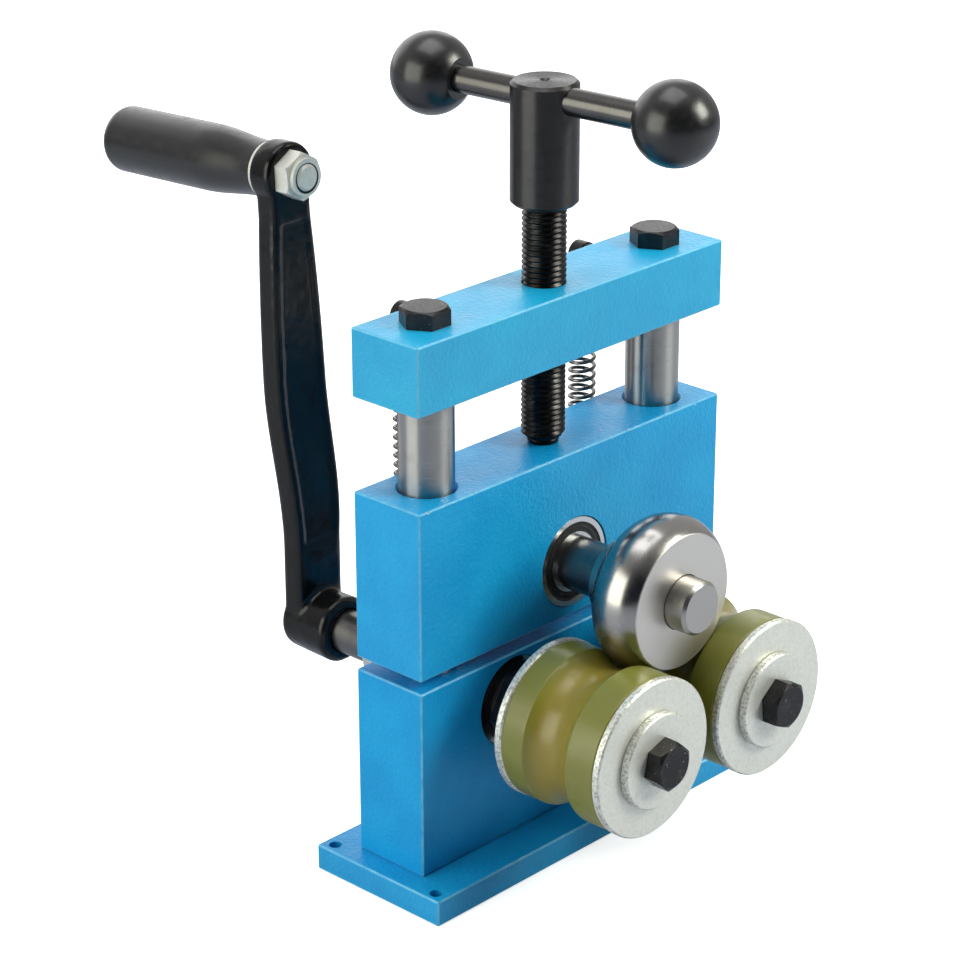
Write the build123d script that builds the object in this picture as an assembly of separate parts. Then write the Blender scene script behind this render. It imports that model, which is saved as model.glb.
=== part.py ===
from build123d import *
import os
from math import cos, hypot, pi, radians, sin, sqrt, tan

# Ring roller: a three-roll bench bender. Two grooved polyurethane rollers turn in the lower block,
# one of them by the crank. A steel roller in the upper block is pressed down between them by the
# screw, and two tension springs draw the block up again behind the screw.
#
# Millimetres. +Z is up, +X to the right and +Y to the back. The origin lies on the underside of the
# base plate, midway between the two guide posts.

# ---------------------------------------------------------------- painted steel frame
block_width = 160.0
block_depth = 32.0
block_edge = 0.6            # small chamfer on the edges of the blocks, the bar and the plate

plate_width = 178.0
plate_depth = 61.5
plate_height = 10.0
plate_forward = 1.5         # the plate's middle lies this far in front of the posts
bench_hole_dia = 4.8
bench_hole_inset_x = 4.3
bench_hole_inset_y = 5.2

lower_height = 72.5
block_gap = 4.7             # daylight between the two blocks with the rollers closed
upper_height = 63.5
lift_room = 34.8            # from the top of the upper block to the top bar
bar_height = 25.5

# ---------------------------------------------------------------- clearances
snug = 0.02                 # radial, for pieces that are fixed together
running = 0.05              # radial, for pieces that slide or turn in each other
seat_gap = 0.3              # between faces that pass each other without touching
roller_gap = 0.5            # between the steel roller and the grooves, with the rollers closed
hole_spare = 2.0            # how much deeper a tapped hole is than its screw
cut_past = 1.0              # how far each cutting shape runs past the face that it cuts

# ---------------------------------------------------------------- guide posts and fasteners
post_dia = 20.0
post_spacing = 120.0
post_edge = 1.0
post_mouth = 1.0            # chamfer at the mouths of the upper block's post bores

hex_bolt_dia = 10.0
hex_bolt_flats = 16.0
hex_bolt_head = 6.4
hex_bolt_length = 35.0
hex_corner_cut = 0.9        # chamfer on the corners of a hexagon
post_bolt_turn = 0.0        # degrees, how each hexagon happens to stand
left_roller_bolt_turn = 17.0
right_roller_bolt_turn = 36.0
back_nut_turn = 0.0
grip_nut_turn = 30.0

base_screw_dia = 8.0
base_screw_head_dia = 15.0
base_screw_length = 25.0
base_screw_socket = 5.0
base_screw_socket_depth = 3.0
base_screw_spacing = 40.0   # the middle pair, into the lower block; the outer pair hold the posts

# ---------------------------------------------------------------- ball bearings
bearing_bore = 17.0
bearing_dia = 35.0
bearing_width = 10.0
bearing_inset = 0.5         # below the face of the block
inner_ring_dia = 22.8
outer_ring_bore = 30.2
seal_thickness = 1.0
seal_inset = 0.3
seal_gap = 0.1
ring_edge = 0.5
bearing_relief_dia = 28.0   # the bore between the two bearings of a shaft

# ---------------------------------------------------------------- roller axes
lower_axis_z = 63.2
lower_axis_spacing = 64.4
upper_axis_z = 107.5

# ---------------------------------------------------------------- steel roller and its shaft
shoulder_dia = 20.0
shaft_tail = 3.6            # past the back face of the block
shaft_edge = 1.2
steel_front = 50.8          # front face of the roller, in front of the block's face
steel_crown_dia = 59.0
steel_crown_back = 10.4     # from the front face back to the crown
steel_crown_radius = 14.0
steel_hub_dia = 28.0
steel_hub_edge = 1.0
steel_hub_back = 18.0       # back of the hub, in front of the block's face
steel_bore_gap = 0.3
steel_shaft_proud = 8.9     # the shaft's end, in front of the roller

grub_dia = 6.0
grub_sink = 0.4             # below the surface of the hub that it sits in
grub_socket = 3.0
grub_socket_depth = 1.8
grub_from_edge = 5.0        # from the end of the hub to the middle of the grub screw

clip_thickness = 1.2
clip_width = 2.6
clip_groove_depth = 0.6
clip_mouth = 50.0           # degrees left open

# ---------------------------------------------------------------- polyurethane rollers
tyre_dia = 58.2
tyre_length = 42.4
tyre_bore_gap = 0.25
tyre_edge = 0.8
groove_width = 20.0
disc_dia = 58.8
disc_thickness = 3.2
disc_edge = 0.6
big_washer_dia = 35.6
big_washer_thickness = 3.2
big_washer_edge = 0.5
back_nut_flats = 30.0
back_nut_height = 10.0
back_nut_stand = 4.0        # in front of the block's face
roller_bolt_length = 30.0

# ---------------------------------------------------------------- crank
sleeve_dia = 25.0
sleeve_nose_dia = 21.5
sleeve_nose = 1.0
sleeve_end = 34.0           # behind the block's face
sleeve_edge = 0.6
crank_hub_front = 54.0      # behind the block's face
crank_hub_length = 24.6
crank_hub_front_dia = 26.0
crank_hub_back_dia = 25.0
crank_hub_edge = 2.0
shaft_in_hub = 22.0

throw = 174.5               # height of the grip's boss above the shaft
arm_foot_width = 22.6
arm_waist_width = 25.4
arm_head_width = 19.4
arm_thickness = 10.0
arm_foot_front = 67.5       # front of the arm at its foot, behind the block's face
arm_bend_front = 74.8       # the same where the bend ends
arm_bend_start = 36.0       # heights above the shaft
arm_waist_height = 81.0
arm_bend_end = 96.0
arm_head_height = 158.0
arm_round = 2.4
arm_root_round = 2.5        # where the arm runs into its hub
panel_border = 3.4
panel_depth = 0.9
panel_foot_height = 34.0
panel_head_height = 157.0
boss_dia = 23.6
boss_length = 10.5
boss_lean = 2.8             # degrees: the arm's head leans back, and the grip droops with it
boss_edge = 1.5

spindle_dia = 10.0
spindle_head_dia = 14.0
spindle_head = 4.0
spindle_slot = 1.6
spindle_slot_depth = 1.4
spindle_proud = 0.8         # past the nut
spindle_edge = 0.9
grip_washer_dia = 21.0
grip_washer_thickness = 1.2
grip_length = 81.0
grip_dia = 25.2
grip_neck_dia = 20.6
grip_neck_length = 30.0
grip_end_round = 4.5
grip_recess = 6.5
grip_nut_flats = 16.0
grip_nut_height = 8.4
grip_nut_collar_dia = 14.0
grip_nut_collar = 1.8

# ---------------------------------------------------------------- pressing screw
screw_dia = 16.0
screw_point_dia = 10.0
screw_point = 2.0
screw_point_taper = 2.6
screw_hub_dia = 24.4
screw_hub_bottom = 29.0     # above the top bar
screw_hub_height = 44.2
screw_hub_edge = 1.2
screw_in_hub = 26.0
centre_mark_dia = 4.0
centre_mark_depth = 1.2

handle_dia = 10.0
handle_down = 6.0           # axis of the handle, below the top of the hub
handle_turn = 4.7           # degrees from the front-to-back line
handle_reach_front = 55.0   # to the middle of the front knob
handle_reach_back = 50.5
handle_in_knob = 9.0        # past the knob's flat
knob_dia = 30.0
knob_flat_dia = 15.0

# ---------------------------------------------------------------- lifting springs
spring_spacing = 92.8
spring_wire = 1.2
spring_mean_dia = 9.2
spring_half_turns = 39      # odd, so that both loops lie on the side of the blocks
spring_neck = 3.2           # straight wire between the coil and each loop
spring_bend = 2.5           # radius of the bend from the coil into the neck
spring_behind = 6.5         # middle of the spring, behind the blocks
spring_screw_dia = 6.0
spring_screw_depth = 9.0
spring_screw_stand = 4.8    # under the head, behind the blocks
spring_screw_head_dia = 10.0
spring_screw_head = 5.0
spring_screw_socket = 5.0
spring_screw_socket_depth = 2.5
top_screw_down = 6.3        # below the top of the top bar
block_screw_down = 27.0     # below the top of the upper block

# ---------------------------------------------------------------- places that follow from the sizes
front_face = -block_depth / 2
back_face = block_depth / 2
lower_top = plate_height + lower_height
upper_bottom = lower_top + block_gap
upper_top = upper_bottom + upper_height
bar_bottom = upper_top + lift_room
bar_top = bar_bottom + bar_height

post_x = post_spacing / 2
lower_axis_x = lower_axis_spacing / 2
spring_x = spring_spacing / 2
top_screw_z = bar_top - top_screw_down
block_screw_z = upper_top - block_screw_down

ring_front = front_face + bearing_inset         # front face of the front bearing
ring_back = back_face - bearing_inset           # back face of the back bearing
shaft_back = back_face + shaft_tail

steel_front_y = front_face - steel_front
crown_y = steel_front_y + steel_crown_back
steel_hub_back_y = front_face - steel_hub_back

nut_back = front_face - back_nut_stand
nut_front = nut_back - back_nut_height
rear_disc_back = nut_front - big_washer_thickness
tyre_back = rear_disc_back - disc_thickness
tyre_front = tyre_back - tyre_length
front_disc_front = tyre_front - disc_thickness
washer_front = front_disc_front - big_washer_thickness

crank_hub_front_y = back_face + crank_hub_front
crank_hub_back_y = crank_hub_front_y + crank_hub_length
boss_z = lower_axis_z + throw
lean_rise = tan(radians(boss_lean))
boss_front_y = back_face + arm_bend_front + (throw - arm_bend_end) * lean_rise
boss_y = boss_front_y + boss_length / 2

hub_bottom = bar_top + screw_hub_bottom
hub_top = hub_bottom + screw_hub_height
handle_z = hub_top - handle_down


# ---------------------------------------------------------------- helpers
def painted_block(width, depth, height, bottom, middle_y=0.0):
    """A rectangular block with small chamfers, standing at a given height."""
    block = Pos(0, middle_y, bottom + height / 2) * Box(width, depth, height)
    return chamfer(block.edges(), block_edge)


def rod_z(diameter, bottom, top, x=0.0, y=0.0):
    """An upright round bar from one height to another."""
    return Pos(x, y, (bottom + top) / 2) * Cylinder(diameter / 2, top - bottom)


def rod_y(diameter, start, end, x=0.0, z=0.0):
    """A round bar that lies along Y, from one depth to another."""
    return Pos(x, (start + end) / 2, z) * Rot(90, 0, 0) * Cylinder(diameter / 2, end - start)


def tube_y(outer_dia, inner_dia, start, end, x=0.0, z=0.0):
    """A plain ring or sleeve that lies along Y."""
    return rod_y(outer_dia, start, end, x, z) - rod_y(inner_dia, start - cut_past, end + cut_past, x, z)


def turned_y(profile, x=0.0, z=0.0):
    """A turned piece on an axis along Y; each point of the profile is (radius, depth)."""
    return Pos(x, 0, z) * revolve(make_face(Polyline(*profile, close=True)), Axis.Y)


def turned_z(profile, x=0.0, y=0.0):
    """A turned piece on an upright axis; each point of the profile is (radius, height)."""
    outline = Polyline(*profile, close=True)
    return Pos(x, y, 0) * revolve(make_face(Plane.XZ * outline), Axis.Z)


def hexagon(flats, length, turn=0.0):
    """An upright hexagon bar from z = 0, with its corners chamfered at the top."""
    corner_radius = flats / 2 / cos(pi / 6)
    prism = extrude(RegularPolygon(corner_radius, 6, rotation=turn), length)
    cone_radius = corner_radius + cut_past
    cone = turned_z([(0, 0), (cone_radius, 0), (cone_radius, length - hex_corner_cut - cut_past),
                     (corner_radius - hex_corner_cut, length), (0, length)])
    return prism & cone


def hexagon_y(flats, start, end, x=0.0, z=0.0, turn=0.0):
    """A hexagon bar along Y, with its corners chamfered at the front."""
    return Pos(x, end, z) * Rot(90, 0, 0) * hexagon(flats, end - start, turn)


def socket_hole(flats, depth):
    """A hexagon socket that goes down from z = 0."""
    return Pos(0, 0, -depth) * extrude(RegularPolygon(flats / 2 / cos(pi / 6), 6), depth + cut_past)


# ---------------------------------------------------------------- frame
def base_screw_places():
    """Middle pair into the lower block, outer pair into the posts."""
    return [-post_x, -base_screw_spacing / 2, base_screw_spacing / 2, post_x]


def make_base_screws():
    """Countersunk socket screws, heads just inside the underside of the plate."""
    head_height = (base_screw_head_dia - base_screw_dia) / 2
    head_bottom = seat_gap
    screw = turned_z([(0, head_bottom), (base_screw_head_dia / 2, head_bottom),
                      (base_screw_dia / 2, head_bottom + head_height),
                      (base_screw_dia / 2, head_bottom + base_screw_length),
                      (0, head_bottom + base_screw_length)])
    screw -= Pos(0, 0, head_bottom) * Rot(180, 0, 0) * socket_hole(base_screw_socket, base_screw_socket_depth)
    return Compound([Pos(x, 0, 0) * screw for x in base_screw_places()])


def make_base_plate():
    plate = painted_block(plate_width, plate_depth, plate_height, 0, -plate_forward)
    hole_x = plate_width / 2 - bench_hole_inset_x
    hole_y = plate_depth / 2 - bench_hole_inset_y
    for x in (-hole_x, hole_x):
        for y in (-hole_y, hole_y):
            plate -= rod_z(bench_hole_dia, -cut_past, plate_height + cut_past, x, y - plate_forward)
    head_height = (base_screw_head_dia - base_screw_dia) / 2
    head_radius = base_screw_head_dia / 2 + snug
    shank_radius = base_screw_dia / 2 + snug
    top = plate_height + cut_past
    countersink = turned_z([(0, -cut_past), (head_radius, -cut_past), (head_radius, seat_gap),
                            (shank_radius, seat_gap + head_height), (shank_radius, top), (0, top)])
    for x in base_screw_places():
        plate -= Pos(x, 0, 0) * countersink
    return plate


def base_screw_hole(x):
    """A tapped hole, up from the plate."""
    top = seat_gap + base_screw_length + hole_spare
    return rod_z(base_screw_dia + 2 * snug, plate_height - cut_past, top, x)


def bearing_bores(x, z):
    """What is bored out of a block for a shaft: a pocket in each face, and relief between them."""
    pocket_dia = bearing_dia + 2 * snug
    pocket_depth = bearing_inset + bearing_width
    bores = rod_y(bearing_relief_dia, front_face, back_face, x, z)
    bores += rod_y(pocket_dia, front_face - cut_past, front_face + pocket_depth, x, z)
    bores += rod_y(pocket_dia, back_face - pocket_depth, back_face + cut_past, x, z)
    return bores


def make_lower_block():
    block = painted_block(block_width, block_depth, lower_height, plate_height)
    for side in (-1, 1):
        block -= rod_z(post_dia + 2 * snug, plate_height - cut_past, lower_top + cut_past, side * post_x)
        block -= bearing_bores(side * lower_axis_x, lower_axis_z)
        block -= base_screw_hole(side * base_screw_spacing / 2)
    return block


def make_upper_block():
    block = painted_block(block_width, block_depth, upper_height, upper_bottom)
    bore_radius = post_dia / 2 + running
    wide = bore_radius + post_mouth
    start = upper_bottom - cut_past
    end = upper_top + cut_past
    bore = turned_z([(0, start), (wide, start), (wide, upper_bottom),
                     (bore_radius, upper_bottom + post_mouth), (bore_radius, upper_top - post_mouth),
                     (wide, upper_top), (wide, end), (0, end)])
    for side in (-1, 1):
        block -= Pos(side * post_x, 0, 0) * bore
        block -= spring_screw_hole(side * spring_x, block_screw_z)
    return block - bearing_bores(0, upper_axis_z)


def make_top_bar():
    bar = painted_block(block_width, block_depth, bar_height, bar_bottom)
    start = bar_bottom - cut_past
    end = bar_top + cut_past
    bar -= rod_z(screw_dia + 2 * running, start, end)
    for side in (-1, 1):
        bar -= rod_z(hex_bolt_dia + 2 * snug, start, end, side * post_x)
        bar -= spring_screw_hole(side * spring_x, top_screw_z)
    return bar


def make_post(x):
    """A ground guide post, tapped at both ends."""
    post = rod_z(post_dia, plate_height, bar_bottom, x)
    post = chamfer(post.edges().filter_by(GeomType.CIRCLE), post_edge)
    bolt_hole_bottom = bar_top - hex_bolt_length - hole_spare
    post -= rod_z(hex_bolt_dia + 2 * snug, bolt_hole_bottom, bar_bottom + cut_past, x)
    return post - base_screw_hole(x)


def make_post_bolts():
    bolt = Pos(0, 0, bar_top) * hexagon(hex_bolt_flats, hex_bolt_head, post_bolt_turn)
    bolt += rod_z(hex_bolt_dia, bar_top - hex_bolt_length, bar_top)
    return Compound([Pos(side * post_x, 0, 0) * bolt for side in (-1, 1)])


# ---------------------------------------------------------------- springs and the screws they hang on
def spring_screw_hole(x, z):
    """A tapped hole in the back face of a block."""
    return rod_y(spring_screw_dia + 2 * snug, back_face - spring_screw_depth - hole_spare / 2,
                 back_face + cut_past, x, z)


def make_spring_screws(z):
    """A pair of socket screws that stand out of the back of a block."""
    head_start = back_face + spring_screw_stand
    head_end = head_start + spring_screw_head
    screw = rod_y(spring_screw_dia, back_face - spring_screw_depth, head_start)
    screw += rod_y(spring_screw_head_dia, head_start, head_end)
    socket = Rot(-90, 0, 0) * socket_hole(spring_screw_socket, spring_screw_socket_depth)
    screw -= Pos(0, head_end, 0) * socket
    return Compound([Pos(side * spring_x, 0, z) * screw for side in (-1, 1)])


def spring_path():
    """The wire's middle line about x = 0, y = 0: a loop, the coil on half-turn arcs, and a loop."""
    radius = spring_mean_dia / 2
    off_shank = radius - spring_wire / 2 - spring_screw_dia / 2 - running
    low_loop = block_screw_z + off_shank
    high_loop = top_screw_z - off_shank
    coil_bottom = low_loop + spring_neck + spring_bend
    coil_top = high_loop - spring_neck - spring_bend
    rise = (coil_top - coil_bottom) / spring_half_turns
    bow = hypot(spring_mean_dia, rise) / 2
    slant = sqrt(0.5)

    # Lower loop, three quarters of a turn round the shank, nearer to the blocks than the coil's middle.
    y = -spring_bend
    path = [ThreePointArc((0, y, low_loop + radius), (-radius * slant, y, low_loop + radius * slant),
                          (-radius, y, low_loop)),
            ThreePointArc((-radius, y, low_loop), (0, y, low_loop - radius), (radius, y, low_loop)),
            Line((radius, y, low_loop), (radius, y, low_loop + spring_neck)),
            ThreePointArc((radius, y, coil_bottom - spring_bend),
                          (radius, y * slant, coil_bottom - spring_bend * (1 - slant)),
                          (radius, 0, coil_bottom))]
    for half_turn in range(spring_half_turns):
        z = coil_bottom + half_turn * rise
        side = 1 - 2 * (half_turn % 2)
        path.append(ThreePointArc((side * radius, 0, z), (0, side * bow, z + rise / 2),
                                  (-side * radius, 0, z + rise)))
    # Upper loop, on the same side of the coil.
    path += [ThreePointArc((-radius, 0, coil_top),
                           (-radius, y * slant, coil_top + spring_bend * (1 - slant)),
                           (-radius, y, coil_top + spring_bend)),
             Line((-radius, y, high_loop - spring_neck), (-radius, y, high_loop)),
             ThreePointArc((-radius, y, high_loop), (0, y, high_loop + radius), (radius, y, high_loop)),
             ThreePointArc((radius, y, high_loop), (radius * slant, y, high_loop - radius * slant),
                           (0, y, high_loop - radius))]
    return path


def print_spring_gap(path):
    """Least gap of the wire to itself, on points more than a quarter of a turn apart."""
    steps = 16
    points = [edge.position_at(step / steps) for edge in path for step in range(steps)]
    along = [0.0]
    for here, there in zip(points, points[1:]):
        along.append(along[-1] + (there - here).length)
    apart = pi * spring_mean_dia / 4
    least = min((points[j] - points[i]).length
                for i in range(len(points)) for j in range(i + 1, len(points))
                if along[j] - along[i] > apart and abs(points[j].Z - points[i].Z) < spring_mean_dia)
    print(f"spring: {spring_half_turns / 2} turns, least gap to itself {least - spring_wire:.2f} mm")


def make_spring(x):
    path = spring_path()
    start = path[0]
    section = Plane(origin=start @ 0, z_dir=start % 0) * Circle(spring_wire / 2)
    spring = sweep(section, Wire(path))
    return Pos(x, back_face + spring_behind, 0) * spring


# ---------------------------------------------------------------- bearings
def bearing_places(x, z):
    """Front face of each of the two bearings on a shaft."""
    return [(x, z, ring_front), (x, z, ring_back - bearing_width)]


def outer_ring(x, z, start):
    end = start + bearing_width
    outside = bearing_dia / 2
    bore = outer_ring_bore / 2
    return turned_y([(bore, start), (outside - ring_edge, start), (outside, start + ring_edge),
                     (outside, end - ring_edge), (outside - ring_edge, end), (bore, end)], x, z)


def inner_ring(x, z, start):
    end = start + bearing_width
    outside = inner_ring_dia / 2
    bore = bearing_bore / 2 + snug
    return turned_y([(bore + ring_edge, start), (outside, start), (outside, end), (bore + ring_edge, end),
                     (bore, end - ring_edge), (bore, start + ring_edge)], x, z)


def seals(x, z, start):
    """The two seals of a bearing, between its rings."""
    outside = outer_ring_bore - 2 * snug
    inside = inner_ring_dia + 2 * seal_gap
    front = start + seal_inset
    back = start + bearing_width - seal_inset
    return [tube_y(outside, inside, front, front + seal_thickness, x, z),
            tube_y(outside, inside, back - seal_thickness, back, x, z)]


lower_bearings = bearing_places(-lower_axis_x, lower_axis_z) + bearing_places(lower_axis_x, lower_axis_z)
upper_bearings = bearing_places(0, upper_axis_z)


# ---------------------------------------------------------------- shafts, clips and grub screws
def clip_groove():
    """The groove behind the back bearing, as profile points from the front to the back."""
    groove_radius = bearing_bore / 2 - clip_groove_depth
    groove_end = ring_back + clip_thickness + snug
    return [(bearing_bore / 2, ring_back), (groove_radius, ring_back), (groove_radius, groove_end),
            (bearing_bore / 2, groove_end)]


def shaft_back_end(end):
    """Chamfered end, as profile points."""
    return [(bearing_bore / 2, end - shaft_edge), (bearing_bore / 2 - shaft_edge, end), (0, end)]


def make_upper_shaft():
    """Shoulder in front of the bearings, a groove for the clip behind them."""
    front = steel_front_y - steel_shaft_proud
    return turned_y([(0, front), (shoulder_dia / 2 - shaft_edge, front), (shoulder_dia / 2, front + shaft_edge),
                     (shoulder_dia / 2, ring_front), (bearing_bore / 2, ring_front)]
                    + clip_groove() + shaft_back_end(shaft_back), 0, upper_axis_z)


def make_lower_shaft(x, back_points):
    """A collar between the front bearing and the back nut; the roller's bolt goes into the front end."""
    front = front_disc_front + seat_gap
    shaft = turned_y([(0, front), (bearing_bore / 2, front), (bearing_bore / 2, nut_back),
                      (shoulder_dia / 2, nut_back), (shoulder_dia / 2, ring_front),
                      (bearing_bore / 2, ring_front)] + back_points, x, lower_axis_z)
    hole_end = washer_front + roller_bolt_length + hole_spare
    return shaft - rod_y(hex_bolt_dia + 2 * snug, front - cut_past, hole_end, x, lower_axis_z)


def make_circlip(x, z):
    """A retaining ring in the shaft's groove, open at the bottom."""
    inside = bearing_bore - 2 * clip_groove_depth + 2 * snug
    outside = inside + 2 * clip_width
    ring = tube_y(outside, inside, ring_back, ring_back + clip_thickness)
    half_mouth = outside * tan(radians(clip_mouth / 2))
    mouth = make_face(Polyline((0, 0), (-half_mouth, -outside), (half_mouth, -outside), close=True))
    ring -= Pos(0, shaft_back, 0) * Rot(90, 0, 0) * extrude(mouth, shaft_back)
    return Pos(x, 0, z) * ring


def grub_screw(x, y, z, shaft_dia, hub_dia):
    """A grub screw that presses on the shaft from below."""
    bottom = z - hub_dia / 2 + grub_sink
    screw = rod_z(grub_dia, bottom, z - shaft_dia / 2 - snug, x, y)
    return screw - Pos(x, y, bottom) * Rot(180, 0, 0) * socket_hole(grub_socket, grub_socket_depth)


def grub_hole(x, y, z, hub_dia):
    return rod_z(grub_dia + 2 * snug, z - hub_dia / 2 - cut_past, z, x, y)


# ---------------------------------------------------------------- rollers
def make_steel_roller():
    """A barrel with a round crown and a hub behind it."""
    bore = shoulder_dia / 2 + steel_bore_gap
    hub = steel_hub_dia / 2
    arc_radius = steel_crown_dia / 2 - steel_crown_radius
    face_radius = arc_radius + sqrt(steel_crown_radius ** 2 - steel_crown_back ** 2)
    arc_end = crown_y + steel_crown_radius
    crown = ThreePointArc((face_radius, steel_front_y), (steel_crown_dia / 2, crown_y), (arc_radius, arc_end))
    rest = Polyline((arc_radius, arc_end), (hub, arc_end), (hub, steel_hub_back_y - steel_hub_edge),
                    (hub - steel_hub_edge, steel_hub_back_y), (bore, steel_hub_back_y),
                    (bore, steel_front_y), (face_radius, steel_front_y))
    roller = revolve(make_face(Wire([crown] + rest.edges())), Axis.Y)
    roller = Pos(0, 0, upper_axis_z) * roller
    return roller - grub_hole(0, steel_hub_back_y - grub_from_edge, upper_axis_z, steel_hub_dia)


def make_tyre(x):
    """A polyurethane roller; its groove lies under the steel roller's crown and follows it."""
    bore = bearing_bore / 2 + tyre_bore_gap
    outside = tyre_dia / 2
    axis_distance = hypot(lower_axis_x, upper_axis_z - lower_axis_z)
    groove_bottom = axis_distance - steel_crown_dia / 2 - roller_gap
    start = crown_y - groove_width / 2
    end = crown_y + groove_width / 2
    groove = ThreePointArc((outside, start), (groove_bottom, crown_y), (outside, end))
    rest = Polyline((outside, end), (outside, tyre_back), (bore, tyre_back), (bore, tyre_front),
                    (outside, tyre_front), (outside, start))
    profile = make_face(Wire([groove] + rest.edges()))
    rims = [corner for corner in profile.vertices() if corner.X > outside - snug]
    return Pos(x, 0, lower_axis_z) * revolve(fillet(rims, tyre_edge), Axis.Y)


def make_disc(x, start, diameter, thickness, bore, edge):
    """A flat steel disc or washer with broken edges."""
    end = start + thickness
    outside = diameter / 2
    return turned_y([(bore / 2, start), (outside - edge, start), (outside, start + edge),
                     (outside, end - edge), (outside - edge, end), (bore / 2, end)], x, lower_axis_z)


def make_back_nut(x):
    nut = hexagon_y(back_nut_flats, nut_front, nut_back, x, lower_axis_z, back_nut_turn)
    return nut - rod_y(bearing_bore + 2 * snug, nut_front - cut_past, nut_back + cut_past, x, lower_axis_z)


def make_roller_bolt(x, turn):
    bolt = hexagon_y(hex_bolt_flats, washer_front - hex_bolt_head, washer_front, x, lower_axis_z, turn)
    return bolt + rod_y(hex_bolt_dia, washer_front, washer_front + roller_bolt_length, x, lower_axis_z)


def add_roller(side, x, bolt_turn):
    """The pieces that clamp a polyurethane roller on its shaft, front to back."""
    shaft_bore = bearing_bore + 2 * snug
    bolt_bore = hex_bolt_dia + 2 * snug
    pieces[side + "_roller_bolt"] = make_roller_bolt(x, bolt_turn)
    pieces[side + "_front_washer"] = make_disc(x, washer_front, big_washer_dia, big_washer_thickness,
                                               bolt_bore, big_washer_edge)
    pieces[side + "_front_disc"] = make_disc(x, front_disc_front, disc_dia, disc_thickness, shaft_bore,
                                             disc_edge)
    pieces[side + "_tyre"] = make_tyre(x)
    pieces[side + "_rear_disc"] = make_disc(x, tyre_back, disc_dia, disc_thickness, shaft_bore, disc_edge)
    pieces[side + "_rear_washer"] = make_disc(x, rear_disc_back, big_washer_dia, big_washer_thickness,
                                              shaft_bore, big_washer_edge)
    pieces[side + "_back_nut"] = make_back_nut(x)


# ---------------------------------------------------------------- crank
def make_sleeve():
    """A spacer that bears on the back bearing's inner ring and keeps the shaft from moving."""
    nose_end = ring_back + sleeve_nose
    end = back_face + sleeve_end
    bore = bearing_bore / 2 + snug
    sleeve = turned_y([(bore, ring_back), (sleeve_nose_dia / 2, ring_back), (sleeve_nose_dia / 2, nose_end),
                       (sleeve_dia / 2 - sleeve_edge, nose_end), (sleeve_dia / 2, nose_end + sleeve_edge),
                       (sleeve_dia / 2, end - sleeve_edge), (sleeve_dia / 2 - sleeve_edge, end),
                       (bore, end)], -lower_axis_x, lower_axis_z)
    return sleeve - grub_hole(-lower_axis_x, end - grub_from_edge, lower_axis_z, sleeve_dia)


def arm_side(front_shift, back_shift):
    """The arm seen from the side, between two copies of its front line, as a thick slab across X."""
    foot = back_face + arm_foot_front
    bend = back_face + arm_bend_front
    head = bend + (throw - arm_bend_end) * lean_rise
    lean = radians(boss_lean)

    def front_line(shift):
        lower = Line((foot + shift, lower_axis_z), (foot + shift, lower_axis_z + arm_bend_start))
        curve = Spline((foot + shift, lower_axis_z + arm_bend_start), (bend + shift, lower_axis_z + arm_bend_end),
                       tangents=((0, 1), (sin(lean), cos(lean))))
        upper = Line((bend + shift, lower_axis_z + arm_bend_end), (head + shift, boss_z))
        return [lower, curve, upper]

    foot_z, head_z = lower_axis_z, boss_z
    edges = front_line(front_shift) + front_line(back_shift)
    edges.append(Line((foot + front_shift, foot_z), (foot + back_shift, foot_z)))
    edges.append(Line((head + front_shift, head_z), (head + back_shift, head_z)))
    side = make_face(Wire(edges))
    width = arm_waist_width + boss_dia
    # The face is drawn with depth across and height up, so it is stood on the YZ plane.
    return extrude(Plane.YZ * side, width / 2, both=True)


def arm_front(inset, foot_height, head_height):
    """The arm seen from the front between two heights, a waisted strip; inset makes it narrower."""
    foot = arm_foot_width / 2 - inset
    waist = arm_waist_width / 2 - inset
    head = arm_head_width / 2 - inset
    foot_z = lower_axis_z + arm_bend_start - arm_round
    waist_z = lower_axis_z + arm_waist_height
    head_z = lower_axis_z + arm_head_height
    right = ThreePointArc((foot, foot_z), (waist, waist_z), (head, head_z))
    left = ThreePointArc((-foot, foot_z), (-waist, waist_z), (-head, head_z))
    bottom_z = lower_axis_z
    edges = [right, left, Line((head, head_z), (head, boss_z)), Line((-head, head_z), (-head, boss_z)),
             Line((-head, boss_z), (head, boss_z)), Line((foot, foot_z), (foot, bottom_z)),
             Line((-foot, foot_z), (-foot, bottom_z)), Line((-foot, bottom_z), (foot, bottom_z))]
    strip = extrude(Plane.XZ * make_face(Wire(edges)), -(boss_y + boss_length))
    window = Pos(0, 0, lower_axis_z + (foot_height + head_height) / 2) * Box(
        boss_dia * 2, 4 * boss_y, head_height - foot_height)
    return strip & window


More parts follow.
